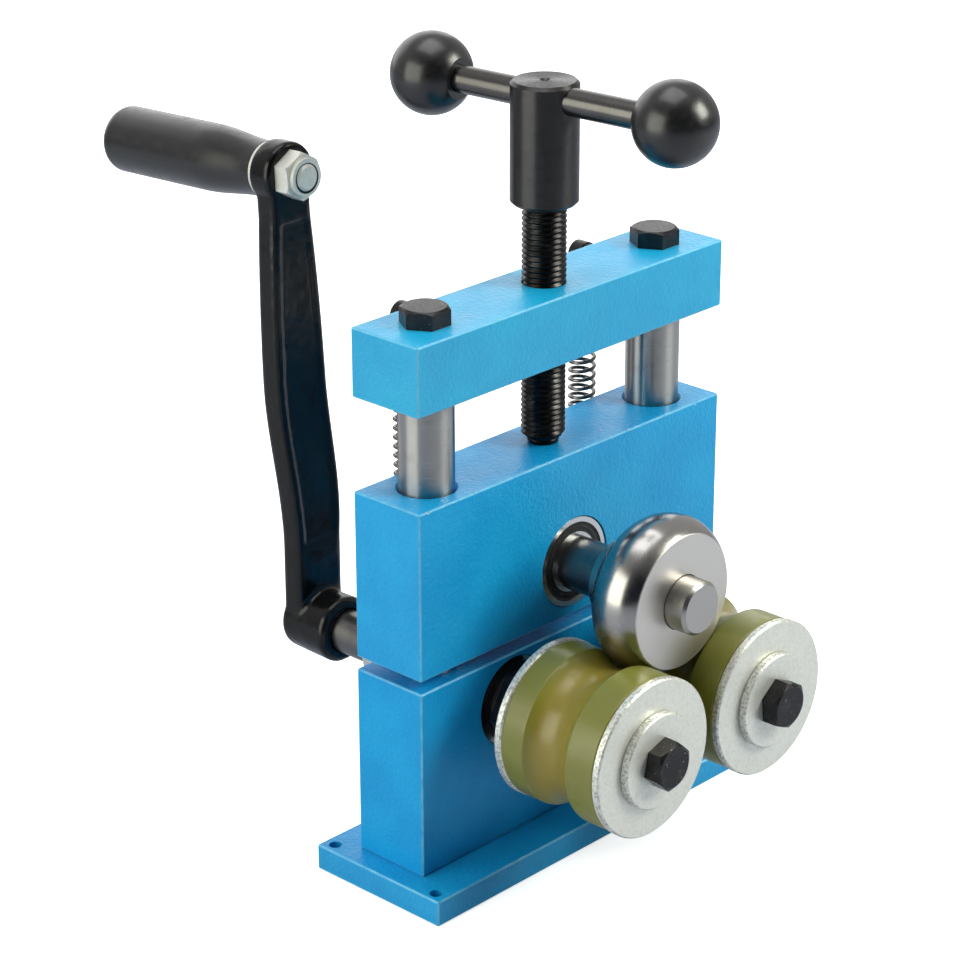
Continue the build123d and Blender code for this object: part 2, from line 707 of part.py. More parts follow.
def make_crank_arm():
    """A cast arm between its hub and the grip's boss, with a recessed panel on its front."""
    arm = arm_side(0, arm_thickness) & arm_front(0, 0, throw)
    long_edges = [edge for edge in arm.edges() if abs((edge @ 1 - edge @ 0).Z) > arm_round]
    arm = fillet(long_edges, arm_round)
    arm -= arm_side(-arm_round, panel_depth) & arm_front(panel_border, panel_foot_height, panel_head_height)
    arm = Pos(-lower_axis_x, 0, 0) * arm

    front = crank_hub_front_y
    back = crank_hub_back_y
    front_radius = crank_hub_front_dia / 2
    back_radius = crank_hub_back_dia / 2
    hub = turned_y([(0, front), (front_radius - crank_hub_edge, front), (front_radius, front + crank_hub_edge),
                    (back_radius, back - crank_hub_edge), (back_radius - crank_hub_edge, back), (0, back)],
                   -lower_axis_x, lower_axis_z)
    arm = fillet(new_edges(arm, hub, combined=arm + hub), arm_root_round)
    boss = Rot(90, 0, 0) * Cylinder(boss_dia / 2, boss_length)
    arm += at_boss * fillet(boss.edges().filter_by(GeomType.CIRCLE), boss_edge)
    arm -= rod_y(bearing_bore + 2 * snug, front - cut_past, back + cut_past, -lower_axis_x, lower_axis_z)
    arm -= at_boss * rod_y(spindle_dia + 2 * snug, -boss_length, boss_length)
    return arm - grub_hole(-lower_axis_x, front + grub_from_edge, lower_axis_z, crank_hub_front_dia)


# The grip, its spindle, washer and nut are made about the boss's middle and then leant with it.
at_boss = Pos(-lower_axis_x, boss_y, boss_z) * Rot(-boss_lean, 0, 0)
boss_end = boss_length / 2
grip_start = boss_end + grip_washer_thickness + seat_gap
grip_end = grip_start + grip_length
recess_bottom = grip_end - grip_recess
spindle_head_start = recess_bottom + seat_gap
spindle_front = -boss_end - grip_nut_height - spindle_proud


def make_grip():
    """A turned handle with a slender neck, a rounded end and a recess for the spindle's head."""
    neck = grip_neck_dia / 2
    outside = grip_dia / 2
    bore = spindle_dia / 2 + running
    recess = spindle_head_dia / 2 + seat_gap
    slant = grip_end_round * (1 - sqrt(0.5))
    neck_end = grip_start + grip_neck_length
    round_start = grip_end - grip_end_round
    shape = Spline((neck, grip_start), (outside, neck_end), tangents=((0, 1), (0, 1)))
    end_round = ThreePointArc((outside, round_start), (outside - slant, grip_end - slant),
                              (outside - grip_end_round, grip_end))
    rest = Polyline((outside - grip_end_round, grip_end), (recess, grip_end), (recess, recess_bottom),
                    (bore, recess_bottom), (bore, grip_start), (neck, grip_start))
    body = Line((outside, neck_end), (outside, round_start))
    profile = make_face(Wire([shape, body, end_round] + rest.edges()))
    return at_boss * revolve(profile, Axis.Y)


def make_spindle():
    """A slotted screw through the grip and the boss."""
    head_end = spindle_head_start + spindle_head
    radius = spindle_dia / 2
    head_radius = spindle_head_dia / 2
    spindle = turned_y([(0, spindle_front), (radius - spindle_edge, spindle_front),
                        (radius, spindle_front + spindle_edge), (radius, spindle_head_start),
                        (head_radius, spindle_head_start), (head_radius, head_end), (0, head_end)])
    slot = Pos(0, head_end, 0) * Box(2 * spindle_head_dia, 2 * spindle_slot_depth, spindle_slot)
    return at_boss * (spindle - slot)


def make_grip_nut():
    """A lock nut, with the round collar that holds its insert."""
    hexagon_front = -boss_end - grip_nut_height + grip_nut_collar
    nut = hexagon_y(grip_nut_flats, hexagon_front, -boss_end, 0, 0, grip_nut_turn)
    nut += rod_y(grip_nut_collar_dia, hexagon_front - grip_nut_collar, hexagon_front)
    return at_boss * (nut - rod_y(spindle_dia + 2 * snug, spindle_front - cut_past, 0))


def make_grip_washer():
    washer_end = boss_end + grip_washer_thickness
    return at_boss * tube_y(grip_washer_dia, spindle_dia + 2 * snug, boss_end, washer_end)


# ---------------------------------------------------------------- pressing screw
def make_pressing_screw():
    """The screw's turned point bears on the upper block; its top is held in the hub."""
    point = screw_point_dia / 2
    outside = screw_dia / 2
    taper_top = upper_top + screw_point + screw_point_taper
    return turned_z([(0, upper_top), (point, upper_top), (point, upper_top + screw_point),
                     (outside, taper_top), (outside, hub_bottom + screw_in_hub),
                     (0, hub_bottom + screw_in_hub)])


def make_screw_hub():
    """A turned head on the screw, with a cross bore for the handle and a centre mark on top."""
    hub = rod_z(screw_hub_dia, hub_bottom, hub_top)
    hub = chamfer(hub.edges().filter_by(GeomType.CIRCLE), screw_hub_edge)
    hub -= rod_z(screw_dia + 2 * snug, hub_bottom - cut_past, hub_bottom + screw_in_hub)
    hub -= at_handle * rod_y(handle_dia + 2 * running, -screw_hub_dia, screw_hub_dia)
    return hub - turned_z([(0, hub_top - centre_mark_depth), (centre_mark_dia / 2, hub_top), (0, hub_top)])


# The handle lies along Y about the hub's middle and is then turned a little.
at_handle = Pos(0, 0, handle_z) * Rot(0, 0, handle_turn)
knob_flat_reach = sqrt((knob_dia / 2) ** 2 - (knob_flat_dia / 2) ** 2)
bar_front = -(handle_reach_front - knob_flat_reach + handle_in_knob)
bar_back = handle_reach_back - knob_flat_reach + handle_in_knob


def make_knob(middle, side):
    """A ball with a flat where the bar goes in; side is -1 at the front and 1 at the back."""
    ball = Pos(0, middle, 0) * Sphere(knob_dia / 2)
    flat = middle - side * knob_flat_reach
    ball -= Pos(0, flat - side * knob_dia / 2, 0) * Box(knob_dia, knob_dia, knob_dia)
    bore_end = flat + side * handle_in_knob
    ball -= rod_y(handle_dia + 2 * snug, min(flat - side, bore_end), max(flat - side, bore_end))
    return at_handle * ball


# ---------------------------------------------------------------- the pieces by name
left_x = -lower_axis_x
right_x = lower_axis_x
pieces = {
    "base_plate": make_base_plate(),
    "base_screws": make_base_screws(),
    "lower_block": make_lower_block(),
    "left_post": make_post(-post_x),
    "right_post": make_post(post_x),
    "top_bar": make_top_bar(),
    "post_bolts": make_post_bolts(),
    "top_spring_screws": make_spring_screws(top_screw_z),
    "left_spring": make_spring(-spring_x),
    "right_spring": make_spring(spring_x),
    "lower_outer_rings": Compound([outer_ring(*place) for place in lower_bearings]),
    "lower_seals": Compound([seal for place in lower_bearings for seal in seals(*place)]),
    "upper_block": make_upper_block(),
    "block_spring_screws": make_spring_screws(block_screw_z),
    "upper_outer_rings": Compound([outer_ring(*place) for place in upper_bearings]),
    "upper_seals": Compound([seal for place in upper_bearings for seal in seals(*place)]),
    "upper_shaft": make_upper_shaft(),
    "upper_inner_rings": Compound([inner_ring(*place) for place in upper_bearings]),
    "upper_circlip": make_circlip(0, upper_axis_z),
    "steel_roller": make_steel_roller(),
    "roller_grub_screw": grub_screw(0, steel_hub_back_y - grub_from_edge, upper_axis_z, shoulder_dia,
                                    steel_hub_dia),
    "left_shaft": make_lower_shaft(left_x, [(bearing_bore / 2, crank_hub_front_y)]
                                   + shaft_back_end(crank_hub_front_y + shaft_in_hub)),
    "left_inner_rings": Compound([inner_ring(*place) for place in bearing_places(left_x, lower_axis_z)]),
    "right_shaft": make_lower_shaft(right_x, clip_groove() + shaft_back_end(shaft_back)),
    "right_inner_rings": Compound([inner_ring(*place) for place in bearing_places(right_x, lower_axis_z)]),
    "right_circlip": make_circlip(right_x, lower_axis_z),
    "crank_sleeve": make_sleeve(),
    "sleeve_grub_screw": grub_screw(left_x, back_face + sleeve_end - grub_from_edge, lower_axis_z,
                                    bearing_bore, sleeve_dia),
    "crank_arm": make_crank_arm(),
    "crank_grub_screw": grub_screw(left_x, crank_hub_front_y + grub_from_edge, lower_axis_z,
                                   bearing_bore, crank_hub_front_dia),
    "grip_spindle": make_spindle(),
    "grip_nut": make_grip_nut(),
    "grip_washer": make_grip_washer(),
    "grip": make_grip(),
    "pressing_screw": make_pressing_screw(),
    "screw_hub": make_screw_hub(),
    "tommy_bar": at_handle * rod_y(handle_dia, bar_front, bar_back),
    "near_knob": make_knob(-handle_reach_front, -1),
    "far_knob": make_knob(handle_reach_back, 1),
}
add_roller("left", left_x, left_roller_bolt_turn)
add_roller("right", right_x, right_roller_bolt_turn)

print_spring_gap(spring_path())
os.makedirs("parts", exist_ok=True)
for name, piece in pieces.items():
    export_step(piece, "parts/" + name + ".step")
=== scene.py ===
# %% [markdown]
# # Ring roller, dressed
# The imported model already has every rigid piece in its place. This script gives the pieces their
# finishes, and replaces those whose small forms only Blender draws: the pressing screw with its
# real thread, the two wire springs, the cast crank arm and the four bolt heads in view. All
# lengths are in metres, and `mm` lets the numbers below be read as millimetres.

# %% Load the frame
import math
import bmesh
import bpy
from mathutils import Matrix, Vector


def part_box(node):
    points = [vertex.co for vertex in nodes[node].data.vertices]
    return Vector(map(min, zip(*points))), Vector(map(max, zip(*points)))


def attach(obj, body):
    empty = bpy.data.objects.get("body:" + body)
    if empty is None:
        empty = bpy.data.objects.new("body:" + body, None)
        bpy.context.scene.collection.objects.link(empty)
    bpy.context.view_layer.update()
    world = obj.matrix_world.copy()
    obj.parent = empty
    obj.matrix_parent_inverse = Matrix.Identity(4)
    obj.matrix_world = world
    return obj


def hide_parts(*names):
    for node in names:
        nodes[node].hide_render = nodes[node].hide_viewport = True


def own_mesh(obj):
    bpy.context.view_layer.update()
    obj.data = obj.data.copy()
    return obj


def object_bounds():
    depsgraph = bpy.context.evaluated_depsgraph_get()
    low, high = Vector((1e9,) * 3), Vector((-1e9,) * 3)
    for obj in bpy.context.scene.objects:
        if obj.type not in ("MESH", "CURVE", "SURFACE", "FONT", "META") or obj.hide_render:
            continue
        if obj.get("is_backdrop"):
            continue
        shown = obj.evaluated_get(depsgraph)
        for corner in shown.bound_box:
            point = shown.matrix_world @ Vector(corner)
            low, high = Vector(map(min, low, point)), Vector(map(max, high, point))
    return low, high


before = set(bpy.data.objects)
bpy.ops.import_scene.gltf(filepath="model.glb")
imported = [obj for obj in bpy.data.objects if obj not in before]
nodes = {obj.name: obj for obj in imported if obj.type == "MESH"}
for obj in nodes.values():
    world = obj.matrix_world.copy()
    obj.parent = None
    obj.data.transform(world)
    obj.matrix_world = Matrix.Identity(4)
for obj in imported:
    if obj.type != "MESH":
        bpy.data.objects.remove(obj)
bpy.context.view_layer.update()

mm = 0.001

# %% [markdown]
# ## The camera
# The view is the photograph's own: its direction was fitted to the straight edges of the blocks.
# `back` points from the object to the eye, and the camera is turned a hair round it.

# %% Camera at the photograph's view
azimuth, elevation, roll = (math.radians(a) for a in (-46.542, 22.545, -0.142))
back = Vector((math.sin(azimuth) * math.cos(elevation),
               -math.cos(azimuth) * math.cos(elevation), math.sin(elevation)))
side = Vector((0, 0, 1)).cross(back).normalized()
rise = back.cross(side)
camera_x = side * math.cos(roll) + rise * math.sin(roll)
camera_y = rise * math.cos(roll) - side * math.sin(roll)
eye = Vector((-0.760681, -0.689508, 0.561252))
# The fitted focal length, and the photograph's width, both in its pixels.
focal_pixels, photo_pixels = 3066.4, 960

camera = bpy.data.objects.new("camera", bpy.data.cameras.new("camera"))
camera.data.sensor_width = 36
camera.data.lens = focal_pixels / photo_pixels * camera.data.sensor_width
camera.matrix_world = Matrix((camera_x, camera_y, back)).transposed().to_4x4()
camera.matrix_world.translation = eye
bpy.context.scene.collection.objects.link(camera)
bpy.context.scene.camera = camera
print("camera: lens", round(camera.data.lens, 1), "mm, eye at", [round(v, 3) for v in eye])

# %% [markdown]
# ## Helpers for materials
# Colours are written as they look on a screen (sRGB hex) and turned to linear light by one
# function. A second one adds a node with its settings, values and links, so each material reads
# as a short list of steps. Patterns are given by their real size.

# %% Colour and node helpers
def colour(code):
    """sRGB hex to linear RGBA."""
    channels = [int(code[i:i + 2], 16) / 255 for i in (1, 3, 5)]
    return [c / 12.92 if c <= 0.04045 else ((c + 0.055) / 1.055) ** 2.4 for c in channels] + [1]


def add_node(tree, kind, values=(), links=(), **settings):
    """A node with its settings, its unlinked values and the sockets that feed it."""
    node = tree.nodes.new(kind)
    for name, value in settings.items():
        setattr(node, name, value)
    for socket, value in dict(values).items():
        node.inputs[socket].default_value = value
    for socket, source in dict(links).items():
        tree.links.new(source, node.inputs[socket])
    return node


def new_finish(name, base, metallic, roughness, **sockets):
    """A material with one Principled shader; sockets are those of the shader, _ for a space."""
    material = bpy.data.materials.new(name)
    material.use_nodes = True
    tree = material.node_tree
    shader = tree.nodes["Principled BSDF"]
    shader.inputs["Base Color"].default_value = colour(base)
    shader.inputs["Metallic"].default_value = metallic
    shader.inputs["Roughness"].default_value = roughness
    for socket, value in sockets.items():
        shader.inputs[socket.replace("_", " ")].default_value = value
    return material, tree, shader


def grain(tree, size, detail=2.0, stretch=(1, 1, 1), place=(0, 0, 0)):
    """Noise on the object's own coordinates, with blotches of a real size in metres."""
    where = add_node(tree, "ShaderNodeTexCoord").outputs["Object"]
    mapped = add_node(tree, "ShaderNodeMapping", {"Location": place, "Scale": stretch},
                      {"Vector": where})
    noise = add_node(tree, "ShaderNodeTexNoise", {"Scale": 1 / size, "Detail": detail},
                     {"Vector": mapped.outputs["Vector"]})
    return noise.outputs["Fac"]


def between(tree, value, low, high, out_low=0.0, out_high=1.0):
    """Maps low..high to out_low..out_high, eased at both ends and held outside."""
    return add_node(tree, "ShaderNodeMapRange",
                    {"From Min": low, "From Max": high, "To Min": out_low, "To Max": out_high},
                    {"Value": value}, interpolation_type="SMOOTHSTEP").outputs["Result"]


def join(tree, operation, first, second):
    """Math on two sockets, or on a socket and a number."""
    links = {0: first}
    values = {}
    if isinstance(second, (int, float)):
        values[1] = second
    else:
        links[1] = second
    return add_node(tree, "ShaderNodeMath", values, links, operation=operation).outputs["Value"]


def blend_colour(tree, amount, under, over):
    """Lays one colour over another; each is a hex value or a socket."""
    mix = add_node(tree, "ShaderNodeMix", links={"Factor": amount}, data_type="RGBA")
    for socket, source in (("A", under), ("B", over)):
        target = [i for i in mix.inputs if i.name == socket and i.type == "RGBA"][0]
        if isinstance(source, str):
            target.default_value = colour(source)
        else:
            tree.links.new(source, target)
    return [o for o in mix.outputs if o.type == "RGBA"][0]


def relief(tree, shader, height, depth):
    """Bump of a real depth in metres."""
    bump = add_node(tree, "ShaderNodeBump", {"Strength": 1.0, "Distance": depth},
                    {"Height": height})
    tree.links.new(bump.outputs["Normal"], shader.inputs["Normal"])


def uneven_gloss(tree, shader, size, detail, smooth, dull, low=0.3, high=0.7):
    """Roughness that wanders from smooth to dull in blotches of a real size."""
    blotches = between(tree, grain(tree, size, detail), low, high, smooth, dull)
    tree.links.new(blotches, shader.inputs["Roughness"])


def axis_radius(tree, x, z):
    """Distance from an axis that lies along Y."""
    where = add_node(tree, "ShaderNodeTexCoord").outputs["Object"]
    flat = add_node(tree, "ShaderNodeMapping", {"Location": (-x, 0, -z), "Scale": (1, 0, 1)},
                    {"Vector": where})
    return add_node(tree, "ShaderNodeVectorMath", links={0: flat.outputs["Vector"]},
                    operation="LENGTH").outputs["Value"]


def coordinate(tree, letter):
    """X, Y or Z of the object's own coordinates."""
    where = add_node(tree, "ShaderNodeTexCoord").outputs["Object"]
    return add_node(tree, "ShaderNodeSeparateXYZ", links={"Vector": where}).outputs[letter]


def dress(material, *names):
    """Gives a finish to CAD nodes by name."""
    for name in names:
        slots = nodes[name].data.materials
        if slots:
            slots[0] = material
        else:
            slots.append(material)
    print(material.name, "on", ", ".join(names))


# %% [markdown]
# ## Stoved blue enamel
# The plate, the blocks and the bar are mild steel, sawn and milled, then sprayed with a sky-blue
# gloss enamel and baked. Spraying leaves orange peel, soft dimples about 1.5 mm across. On the
# corners the film is thinner and chips first. The edges are painted paler, partly for that thinner
# film and partly as a painted highlight where the chamfers catch the light. How near a point is to
# an edge comes from the box of its own block: the second smallest distance to its faces.

# %% Blue enamel, one for each block
def edge_distance(tree, low, high):
    """Distance to the nearest edge of a box, for points on its faces."""
    where = add_node(tree, "ShaderNodeTexCoord").outputs["Object"]
    middle, half = (low + high) / 2, (high - low) / 2
    moved = add_node(tree, "ShaderNodeMapping", {"Location": -middle}, {"Vector": where})
    size = add_node(tree, "ShaderNodeVectorMath", links={0: moved.outputs["Vector"]},
                    operation="ABSOLUTE")
    room = add_node(tree, "ShaderNodeVectorMath", {0: half}, {1: size.outputs["Vector"]},
                    operation="SUBTRACT")
    parts = add_node(tree, "ShaderNodeSeparateXYZ", links={"Vector": room.outputs["Vector"]})
    x, y, z = (parts.outputs[letter] for letter in "XYZ")
    nearer, farther = join(tree, "MINIMUM", x, y), join(tree, "MAXIMUM", x, y)
    return join(tree, "MAXIMUM", nearer, join(tree, "MINIMUM", farther, z))


def blue_enamel(node, chip_share, gloss, deep, pale):
    """Enamel between a deep and a pale blue; a lower chip_share gives more chips."""
    material, tree, shader = new_finish("stoved_blue_enamel_" + node, "#14A5D6", 0.0, 0.34,
                                        Coat_Weight=0.05, Coat_Roughness=0.2,
                                        Specular_IOR_Level=gloss)
    edge = edge_distance(tree, *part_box(node))
    cloud = between(tree, grain(tree, 22 * mm, 3), 0.3, 0.7)
    film = blend_colour(tree, cloud, deep, pale)
    # Painted highlight: within 0.9 mm of an edge the blue turns paler, partly for thinner enamel and
    # partly for the light the chamfers catch.
    thin_film_and_edge_highlight = join(tree, "MULTIPLY", between(tree, edge, 0.9 * mm, 0.2 * mm),
                between(tree, grain(tree, 5 * mm), 0.2, 0.7, 0.35, 0.8))
    film = blend_colour(tree, thin_film_and_edge_highlight, film, "#86D0EC")
    # A chip shows where a 2.2 mm noise peaks, and only within 1.6 mm of an edge.
    peak = between(tree, grain(tree, 2.2 * mm, 4), chip_share, chip_share + 0.03)
    chip = join(tree, "MULTIPLY", peak, between(tree, edge, 1.6 * mm, 0.5 * mm))
    film = blend_colour(tree, chip, film, "#D5DDDD")
    tree.links.new(film, shader.inputs["Base Color"])
    peel = join(tree, "ADD", grain(tree, 1.5 * mm, 1),
                join(tree, "MULTIPLY", grain(tree, 0.7 * mm, 1), 0.6))
    uneven_gloss(tree, shader, 9 * mm, 3, 0.3, 0.4)
    chip_depth = 3.0  # times the depth of the relief
    chipped = join(tree, "SUBTRACT", peel, join(tree, "MULTIPLY", chip, chip_depth))
    relief(tree, shader, chipped, 0.24 * mm)
    dress(material, node)


# Each block has its own tints, which are painted light: the brightly lit bar a shade greener than the
# blocks and the plate, and the lower block, shaded by the rollers, a touch darker.
blue_enamel("top_bar", 0.74, 0.5, "#12A0D4", "#19ABDA")
blue_enamel("upper_block", 0.67, 0.3, "#0F98D6", "#16A2DD")
blue_enamel("lower_block", 0.72, 0.2, "#0F94D4", "#159EDB")
blue_enamel("base_plate", 0.7, 0.45, "#0F96D4", "#16A0DB")

# %% [markdown]
# ## Ground and turned steels
# The guide posts are ground: fine marks run round them, which draws the reflections out up and
# down. The roller's shaft and the handle's bar are darker, as drawn and oiled bar is. The barrel
# is turned and polished on its crown and only faced on its front.

# %% Ground steel of the posts
def ground_steel(name, tint, deep, roughness, line, stretch, **sockets):
    """Bright steel with fine lines; stretch says which way they run."""
    material, tree, shader = new_finish(name, tint, 1.0, roughness, **sockets)
    lines = grain(tree, line, 3, stretch)
    stain = between(tree, grain(tree, 11 * mm, 2, place=(0.3, 0.1, 0.7)), 0.5, 0.9)
    tree.links.new(blend_colour(tree, stain, tint, deep), shader.inputs["Base Color"])
    tree.links.new(between(tree, lines, 0.25, 0.75, roughness * 0.9, roughness * 1.15),
                   shader.inputs["Roughness"])
    relief(tree, shader, lines, 0.0015 * mm)
    return material, tree, shader


# Real grinding marks are too fine to show, so they are drawn 0.35 mm apart. Round an upright post
# they change fast along Z and slowly across. The turned lines of the next cells are coarser too.
round_post, post_line = (0.02, 0.02, 1), 0.35 * mm
posts, tree, shader = ground_steel("ground_post_steel", "#A6A5A2", "#8A8986", 0.3, post_line,
                                   round_post, Anisotropic=0.85, Anisotropic_Rotation=0.25)
# Painted reflection: the blocks' blue is laid on the left post just above the upper block, where the
# post mirrors the block. It fades in to the right of X = -57 mm, and the last factor keeps it off
# the right post.
block_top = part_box("upper_block")[1].z
painted_blue_reflection = join(tree, "MULTIPLY", between(tree, grain(tree, 6 * mm, 4, (1, 1, 0.35)), 0.42, 0.5),
             between(tree, coordinate(tree, "Z"), block_top + 26 * mm, block_top + 6 * mm))
right_side = join(tree, "MULTIPLY", between(tree, coordinate(tree, "X"), -57 * mm, -54.5 * mm),
                  between(tree, coordinate(tree, "X"), 0, -10 * mm))
painted_blue_reflection = join(tree, "MULTIPLY", painted_blue_reflection, right_side)
steel = shader.inputs["Base Color"].links[0].from_socket
tree.links.new(blend_colour(tree, painted_blue_reflection, steel, "#4A9FD0"), shader.inputs["Base Color"])
dress(posts, "left_post", "right_post")

# %% Shafts, sleeve and handle bar
round_shaft, turned_line = (0.02, 1, 0.02), 0.4 * mm
shaft, tree, shader = ground_steel("oiled_shaft_steel", "#777674", "#5A5958", 0.3, turned_line,
                                   round_shaft)
# The end in front of the roller is brighter, as a faced end is.
bright = between(tree, coordinate(tree, "Y"), -64 * mm, -66 * mm)
steel = shader.inputs["Base Color"].links[0].from_socket
tree.links.new(blend_colour(tree, bright, steel, "#ABA8A4"), shader.inputs["Base Color"])
dress(shaft, "upper_shaft", "left_shaft", "right_shaft")

sleeve = ground_steel("turned_sleeve_steel", "#E0E0DC", "#B0B0AC", 0.3, turned_line, round_shaft)[0]
dress(sleeve, "crank_sleeve")

bar = ground_steel("drawn_handle_steel", "#5F5D5B", "#494846", 0.24, 0.5 * mm, round_shaft)[0]
dress(bar, "tommy_bar")

# %% The polished barrel
barrel_low, barrel_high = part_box("steel_roller")
axis_z = (barrel_low.z + barrel_high.z) / 2
barrel, tree, shader = new_finish("turned_roller_steel", "#9F9B97", 1.0, 0.28)
face = between(tree, coordinate(tree, "Y"), barrel_low.y + 0.5 * mm, barrel_low.y + 0.1 * mm)
lathe = grain(tree, 0.5 * mm, 3, round_shaft)
ring_gap = 0.35 * mm
rings = add_node(tree, "ShaderNodeTexNoise", {"Scale": 1 / ring_gap, "Detail": 2},
                 {"W": axis_radius(tree, 0, axis_z)}, noise_dimensions="1D").outputs["Fac"]
marks = add_node(tree, "ShaderNodeMix", links={"Factor": face, "A": lathe, "B": rings})
dull = between(tree, grain(tree, 14 * mm, 3), 0.35, 0.7, 0.2, 0.3)
rough = add_node(tree, "ShaderNodeMix", {"B": 0.4}, {"Factor": face, "A": dull})
tree.links.new(blend_colour(tree, face, "#9E9C99", "#CFCBC6"), shader.inputs["Base Color"])
tree.links.new(rough.outputs["Result"], shader.inputs["Roughness"])
relief(tree, shader, marks.outputs["Result"], 0.002 * mm)
dress(barrel, "steel_roller")

# %% [markdown]
# ## Black oxide, zinc and bearing steel
# Bolts, the pressing screw and its hub are blackened in a hot salt bath: the steel stays metal,
# only dark and satin, and wears through in grey specks. The back nuts get the same black finish as
# painted shade, for the deep shade they sit in behind the rollers. The discs and washers are cut
# from sheet and zinc plated, so their faces are pale and a little cloudy while the sheared rims are
# rough. Bearing rings are ground and polished, with black rubber seals pressed between them.

# %% Black oxide
def black_oxide(name, tint, roughness, bare, **sockets):
    """Blackened steel; where a 1 mm noise passes the level named bare, the steel shows."""
    material, tree, shader = new_finish(name, tint, 1.0, roughness, **sockets)
    cloud = between(tree, grain(tree, 5 * mm, 2), 0.4, 0.8)
    dark = blend_colour(tree, cloud, tint, "#403F3F")
    speck = between(tree, grain(tree, 1.0 * mm, 3), bare, bare + 0.04)
    tree.links.new(blend_colour(tree, speck, dark, "#83817E"), shader.inputs["Base Color"])
    uneven_gloss(tree, shader, 1.2 * mm, 4, roughness * 0.85, roughness * 1.15)
    relief(tree, shader, grain(tree, 0.5 * mm, 3), 0.005 * mm)
    return material


bolt_black = black_oxide("black_oxide_bolt_steel", "#343334", 0.34, 0.68)
# The back nuts take this finish as painted shade, for the deep shade they sit in behind the rollers.
dress(bolt_black, "post_bolts", "left_roller_bolt", "right_roller_bolt", "base_screws",
      "top_spring_screws", "block_spring_screws", "roller_grub_screw", "sleeve_grub_screw",
      "crank_grub_screw", "left_back_nut", "right_back_nut")
hub_black = black_oxide("black_oxide_hub_steel", "#454444", 0.34, 0.9, Anisotropic=0.8,
                        Anisotropic_Rotation=0.25)
dress(hub_black, "screw_hub")
thread_black = black_oxide("black_oxide_screw_steel", "#252424", 0.3, 0.9)

# %% Zinc plate
def zinc_plate(name, x, z, rim_radius):
    """Zinc on a disc about an axis along Y; beyond rim_radius the sheared edge is mottled."""
    metalness = 0.6  # set for the milky look of the plate
    material, tree, shader = new_finish(name, "#E4E6E0", metalness, 0.42)
    mottle = between(tree, grain(tree, 1.1 * mm, 4), 0.42, 0.66)
    rim = between(tree, axis_radius(tree, x, z), rim_radius - 0.3 * mm, rim_radius + 0.2 * mm)
    speck = join(tree, "MULTIPLY", mottle, between(tree, rim, 0, 1, 0.12, 0.8))
    tree.links.new(blend_colour(tree, speck, "#E2E3DB", "#9B9B95"), shader.inputs["Base Color"])
    uneven_gloss(tree, shader, 1.1 * mm, 4, 0.34, 0.52)
    pits = join(tree, "MULTIPLY", grain(tree, 0.9 * mm, 4), between(tree, rim, 0, 1, 0.1, 1.0))
    relief(tree, shader, pits, 0.07 * mm)
    return material


for side_name in ("left", "right"):
    disc_low, disc_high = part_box(side_name + "_front_disc")
    middle = (disc_low + disc_high) / 2
    radius = (disc_high.x - disc_low.x) / 2
    washer_low, washer_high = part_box(side_name + "_front_washer")
    washer_radius = (washer_high.x - washer_low.x) / 2
    dress(zinc_plate("zinc_disc_" + side_name, middle.x, middle.z, radius - 0.5 * mm),
          side_name + "_front_disc", side_name + "_rear_disc")
    dress(zinc_plate("zinc_washer_" + side_name, middle.x, middle.z, washer_radius - 0.4 * mm),
          side_name + "_front_washer", side_name + "_rear_washer")
dress(zinc_plate("zinc_fastener", 0, 0, 1.0), "grip_spindle", "grip_washer")
# The lock nut's face within 5.5 mm of the spindle's axis is painted near black: painted shade in the
# gap round the end of the spindle.
nut_low, nut_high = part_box("grip_nut")
nut_x, nut_z = (nut_low.x + nut_high.x) / 2, (nut_low.z + nut_high.z) / 2
lock_nut = zinc_plate("zinc_lock_nut", 0, 0, 1.0)
tree = lock_nut.node_tree
shader = tree.nodes["Principled BSDF"]
zinc = shader.inputs["Base Color"].links[0].from_socket
painted_gap_shade = between(tree, axis_radius(tree, nut_x, nut_z), 5.8 * mm, 5.5 * mm)
tree.links.new(blend_colour(tree, painted_gap_shade, zinc, "#1C1D1E"), shader.inputs["Base Color"])
dress(lock_nut, "grip_nut")

# %% Bearings, clips and seals
bearing, tree, shader = new_finish("polished_bearing_steel", "#C6C7C8", 1.0, 0.2)
uneven_gloss(tree, shader, 3 * mm, 4, 0.16, 0.26)
relief(tree, shader, grain(tree, 0.3 * mm, 2, round_shaft), 0.001 * mm)
dress(bearing, "lower_outer_rings", "upper_outer_rings", "upper_inner_rings", "left_inner_rings",
      "right_inner_rings")
spring_black, tree, shader = new_finish("oiled_spring_steel", "#7C7A75", 1.0, 0.26)
uneven_gloss(tree, shader, 2 * mm, 3, 0.2, 0.34)
relief(tree, shader, grain(tree, 0.4 * mm, 3), 0.006 * mm)
dress(spring_black, "upper_circlip", "right_circlip")


def rubber_seal(name, x, z):
    """Black rubber with moulded rings round the shaft."""
    material, tree, shader = new_finish(name, "#151516", 0.0, 0.5)
    ring_gap = 1.8 * mm
    phase = join(tree, "MULTIPLY", axis_radius(tree, x, z), 2 * math.pi / ring_gap)
    uneven_gloss(tree, shader, 2 * mm, 3, 0.42, 0.6)
    relief(tree, shader, join(tree, "SINE", phase, 0), 0.06 * mm)
    return material


dress(rubber_seal("nitrile_seal_upper", 0, axis_z), "upper_seals")
lower_seal, tree, shader = new_finish("nitrile_seal_lower", "#151516", 0.0, 0.5)
relief(tree, shader, grain(tree, 0.8 * mm, 3), 0.05 * mm)
dress(lower_seal, "lower_seals")
